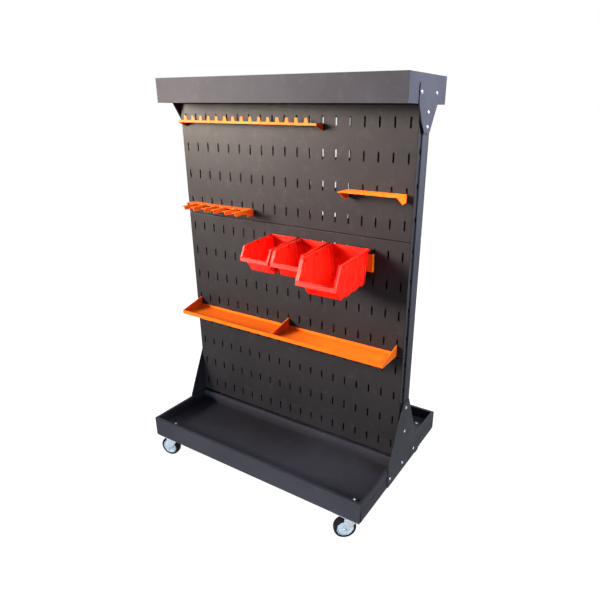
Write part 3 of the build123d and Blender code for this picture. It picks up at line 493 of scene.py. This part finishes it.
# Button-head screws with a hex socket
HEAD_RADIUS = 5.5
HEAD_HEIGHT = 3.2
HEAD_EDGE = 0.8
DOME_ANGLES = (0.35, 0.7, 1.05)
SOCKET = [
    (2.3, HEAD_HEIGHT), (1.9, HEAD_HEIGHT - 0.25),
    (1.8, HEAD_HEIGHT - 2.0), (0, HEAD_HEIGHT - 2.2),
]
SHANK = [(0, 0), (3, 0), (3, -10.5), (0, -10.8)]

# Frame screws as (y, z) on each side, and the tray screws' distances from the middle
SIDE_SCREW_X = 483
SIDE_SCREWS = [
    (-107, 139), (0, 139), (107, 139), (0, 279), (0, 379),
    (0, 1327), (0, 1367), (-58, 1419), (58, 1419),
]
TRAY_SCREW_X = 428
TRAY_SCREW_Y = 272
TRAY_SCREW_Z = 141.5


def button_head(bm, place):
    rise = HEAD_HEIGHT - HEAD_EDGE
    dome = [(HEAD_RADIUS, 0), (HEAD_RADIUS, HEAD_EDGE)]
    dome += [(HEAD_RADIUS * cos(a), HEAD_EDGE + rise * sin(a)) for a in DOME_ANGLES]
    turned(bm, dome + SOCKET[:1], segments=36, place=place)
    turned(bm, SOCKET, segments=6, place=place)
    turned(bm, SHANK, segments=20, place=place)


screws = bmesh.new()
for side in (-1, 1):
    for y, z in SIDE_SCREWS:
        outward = Matrix.Rotation(side * pi / 2, 4, "Y")
        button_head(screws, Matrix.Translation((side * SIDE_SCREW_X, y, z)) @ outward)
finish_piece(screws, "frame_screws")

screws = bmesh.new()
for x in (-TRAY_SCREW_X, TRAY_SCREW_X):
    for y in (-TRAY_SCREW_Y, TRAY_SCREW_Y):
        button_head(screws, Matrix.Translation((x, y, TRAY_SCREW_Z)))
finish_piece(screws, "tray_screws")

# Casters, drawn with X along the trail, Y along the axle and Z up from the floor.
# Each has its end, its side and its turning in degrees.
CASTER_CENTRE = (425.5, 287)
CASTERS = {
    "front_left": (-1, -1, 192),
    "front_right": (1, -1, 220),
    "rear_right": (1, 1, 265),
    "rear_left": (-1, 1, 20),
}
TRAIL = 22
WHEEL_RADIUS = 40
ALONG_AXLE = Matrix.Translation((TRAIL, 0, WHEEL_RADIUS)) @ Matrix.Rotation(-pi / 2, 4, "X")

# Fork: the two faces of a leg, foot and top of the bar that joins the legs, reach, round foot of
# a leg, raised middle of a leg, washer and crown with the race
FORK_LEG = (18, 21)
FORK_BASE = 85
FORK_TOP = 88
FORK_REACH = 26
FOOT_RADIUS = 11.7
FOOT_ANGLES = [-0.12 - 0.20 * k for k in range(8)] + [-1.72 - 0.20 * k for k in range(4)]
EMBOSS_INSET = 4.5
EMBOSS_SINK = 1
EMBOSS_RISE = 0.9
WASHER = [(0, 0), (8.6, 0), (8.6, 1.5), (7.6, 1.7), (0, 1.7)]
CROWN = [
    (6.2, 85), (29, 85), (29, 87.6), (28.4, 88.2), (27.2, 88.6), (26.4, 91.6),
    (25.2, 93), (23, 93.1), (21.6, 91.6), (20.4, 89.4), (6.2, 89.2), (6.2, 85),
]

# Half profiles of the wheel, as radius and distance from its middle along the axle
CORE_HALF = [
    (4.2, 17), (8.6, 17), (10, 16), (10.4, 12.5), (12.2, 11.4), (18.6, 10.6), (19.4, 9.8),
    (24.0, 9.4), (25.2, 10.2), (26.4, 12.6), (28.2, 13.4), (29.6, 12.6), (30, 11),
]
TYRE_HALF = [
    (30, 14.2), (31, 15), (33.4, 15), (36.2, 14), (38.2, 12), (39.4, 9), (39.5, 7.2), (38.9, 6.8),
    (38.9, 6.2), (39.7, 5.8), (40, 3), (40, 0.6),
]

# Axle, with its hexagon head and nut as start and height
AXLE = [(0, -21.5), (4, -21.5), (4, 28.4), (3.4, 29), (0, 29)]
HEXAGONS = ((-26, 5), (22.6, 5.4))
HEXAGON_RADIUS = 7.4
HEXAGON_CHAMFER = 0.5


def leg_outline(shrink):
    """Leg of a fork as (x, z) points: wide at the crown, round at the foot."""
    reach, foot = FORK_REACH - shrink, FOOT_RADIUS - shrink
    crown = [(-reach, FORK_TOP - shrink), (reach, FORK_TOP - shrink)]
    return crown + [(TRAIL + foot * cos(a), WHEEL_RADIUS + foot * sin(a)) for a in FOOT_ANGLES]


def make_fork(node, place):
    fork = bmesh.new()
    inner, outer = FORK_LEG
    for side in (-1, 1):
        prism(fork, leg_outline(0), ALONG_Y, side * inner, side * outer)
        raised = (side * (outer - EMBOSS_SINK), side * (outer + EMBOSS_RISE))
        prism(fork, leg_outline(EMBOSS_INSET), ALONG_Y, *raised)
        washer = [(radius, side * height) for radius, height in WASHER]
        face = ALONG_AXLE @ Matrix.Translation((0, 0, side * outer))
        turned(fork, washer, segments=32, place=face)
    bar = [
        (-FORK_REACH, FORK_BASE), (FORK_REACH, FORK_BASE),
        (FORK_REACH, FORK_TOP), (-FORK_REACH, FORK_TOP),
    ]
    prism(fork, bar, ALONG_Y, -outer, outer)
    turned(fork, CROWN, segments=48)
    round_edges(finish_piece(fork, node, place), width=0.7, segments=2, angle=40)


def make_ring(node, place, half, segments):
    """Turn a half profile and its mirror about the axle."""
    ring = bmesh.new()
    mirrored = [(radius, -along) for radius, along in reversed(half)]
    turned(ring, half + mirrored + half[:1], segments, ALONG_AXLE)
    finish_piece(ring, node, place)


def make_axle(node, place):
    axle = bmesh.new()
    turned(axle, AXLE, segments=28, place=ALONG_AXLE)
    for start, height in HEXAGONS:
        end, narrow = start + height, HEXAGON_RADIUS - HEXAGON_CHAMFER
        hexagon = [(0, start), (narrow, start), (HEXAGON_RADIUS, start + HEXAGON_CHAMFER)]
        hexagon += [(HEXAGON_RADIUS, end - HEXAGON_CHAMFER), (narrow, end), (0, end)]
        turned(axle, hexagon, segments=6, place=ALONG_AXLE)
    round_edges(finish_piece(axle, node, place), width=0.3, segments=2)


for name, (end, side, direction) in CASTERS.items():
    centre = Matrix.Translation((end * CASTER_CENTRE[0], side * CASTER_CENTRE[1], 0))
    place = centre @ Matrix.Rotation(radians(direction), 4, "Z")
    make_fork("fork_" + name, place)
    make_ring("wheel_core_" + name, place, CORE_HALF, segments=64)
    make_ring("tyre_" + name, place, TYRE_HALF, segments=72)
    make_axle("axle_" + name, place)

# Floor and light
FLOOR_SIZE = 40
FLOOR_COLOUR = (0.22, 0.22, 0.24, 1)
FLOOR_ROUGH = 0.9
FLOOR_GLOW = 0.93
SKY_COLOUR = (0.66, 0.80, 1.0, 1)
SKY_STRENGTH = 0.22

# Place, target, size in metres, power in watts, colour, spread in degrees
LIGHTS = {
    "key": ((-2.60, -2.30, 2.10), (0, 0, 1.50), (1.7, 1.7), 60, (1.0, 0.86, 0.73), 42),
    "side": ((1.35, 0.1, 2.1), (0.48, 0, 1.45), (0.8, 0.8), 12.5, (0.90, 0.92, 1.0), 60),
    "low": ((0.5, -2.6, 0.30), (0, -0.33, -0.20), (1.6, 0.3), 5, (0.86, 0.93, 1.0), 34),
    "rear": ((-0.6, 2.4, 2.2), (0, 0, 0.8), (1.6, 1.6), 70, (0.95, 0.97, 1.0), 180),
}


def pale_rays(tree):
    """Whether a ray shows the pale background: seen directly, mirrored or through glass."""
    path = tree.nodes.new("ShaderNodeLightPath")
    seen = path.outputs["Is Camera Ray"]
    for name in ("Is Glossy Ray", "Is Transmission Ray"):
        node = tree.nodes.new("ShaderNodeMath")
        node.operation = "MAXIMUM"
        tree.links.new(seen, node.inputs[0])
        tree.links.new(path.outputs[name], node.inputs[1])
        seen = node.outputs[0]
    return seen


def make_floor():
    bpy.ops.mesh.primitive_plane_add(size=FLOOR_SIZE, location=(0, 0, 0))
    floor = bpy.context.object
    floor.name = "floor"
    material = bpy.data.materials.new("floor")
    material.use_nodes = True
    tree = material.node_tree
    surface = tree.nodes["Principled BSDF"]
    surface.inputs["Base Color"].default_value = FLOOR_COLOUR
    surface.inputs["Roughness"].default_value = FLOOR_ROUGH
    glow = tree.nodes.new("ShaderNodeEmission")
    glow.inputs["Strength"].default_value = FLOOR_GLOW
    add = tree.nodes.new("ShaderNodeAddShader")
    mix = tree.nodes.new("ShaderNodeMixShader")
    tree.links.new(surface.outputs["BSDF"], add.inputs[0])
    tree.links.new(glow.outputs["Emission"], add.inputs[1])
    tree.links.new(pale_rays(tree), mix.inputs["Fac"])
    tree.links.new(surface.outputs["BSDF"], mix.inputs[1])
    tree.links.new(add.outputs["Shader"], mix.inputs[2])
    tree.links.new(mix.outputs["Shader"], tree.nodes["Material Output"].inputs["Surface"])
    paint(floor, material)


def make_world():
    world = bpy.data.worlds.new("studio")
    bpy.context.scene.world = world
    world.use_nodes = True
    tree = world.node_tree
    back = tree.nodes["Background"]
    back.inputs["Strength"].default_value = SKY_STRENGTH
    back.inputs["Color"].default_value = SKY_COLOUR
    white = tree.nodes.new("ShaderNodeBackground")
    white.inputs["Color"].default_value = (1, 1, 1, 1)
    white.inputs["Strength"].default_value = 1.0
    mix = tree.nodes.new("ShaderNodeMixShader")
    tree.links.new(pale_rays(tree), mix.inputs["Fac"])
    tree.links.new(back.outputs["Background"], mix.inputs[1])
    tree.links.new(white.outputs["Background"], mix.inputs[2])
    tree.links.new(mix.outputs["Shader"], tree.nodes["World Output"].inputs["Surface"])


def area_light(name, place, target, size, power, colour, spread):
    data = bpy.data.lights.new(name, "AREA")
    data.shape = "RECTANGLE"
    data.size, data.size_y = size
    data.energy = power
    data.color = colour
    data.spread = radians(spread)
    light = bpy.data.objects.new(name, data)
    bpy.context.scene.collection.objects.link(light)
    light.location = place
    aim = Vector(target) - Vector(place)
    light.rotation_euler = aim.to_track_quat("-Z", "Y").to_euler()


make_floor()
make_world()
for name, settings in LIGHTS.items():
    area_light(name, *settings)

bpy.context.scene.view_settings.view_transform = "Standard"
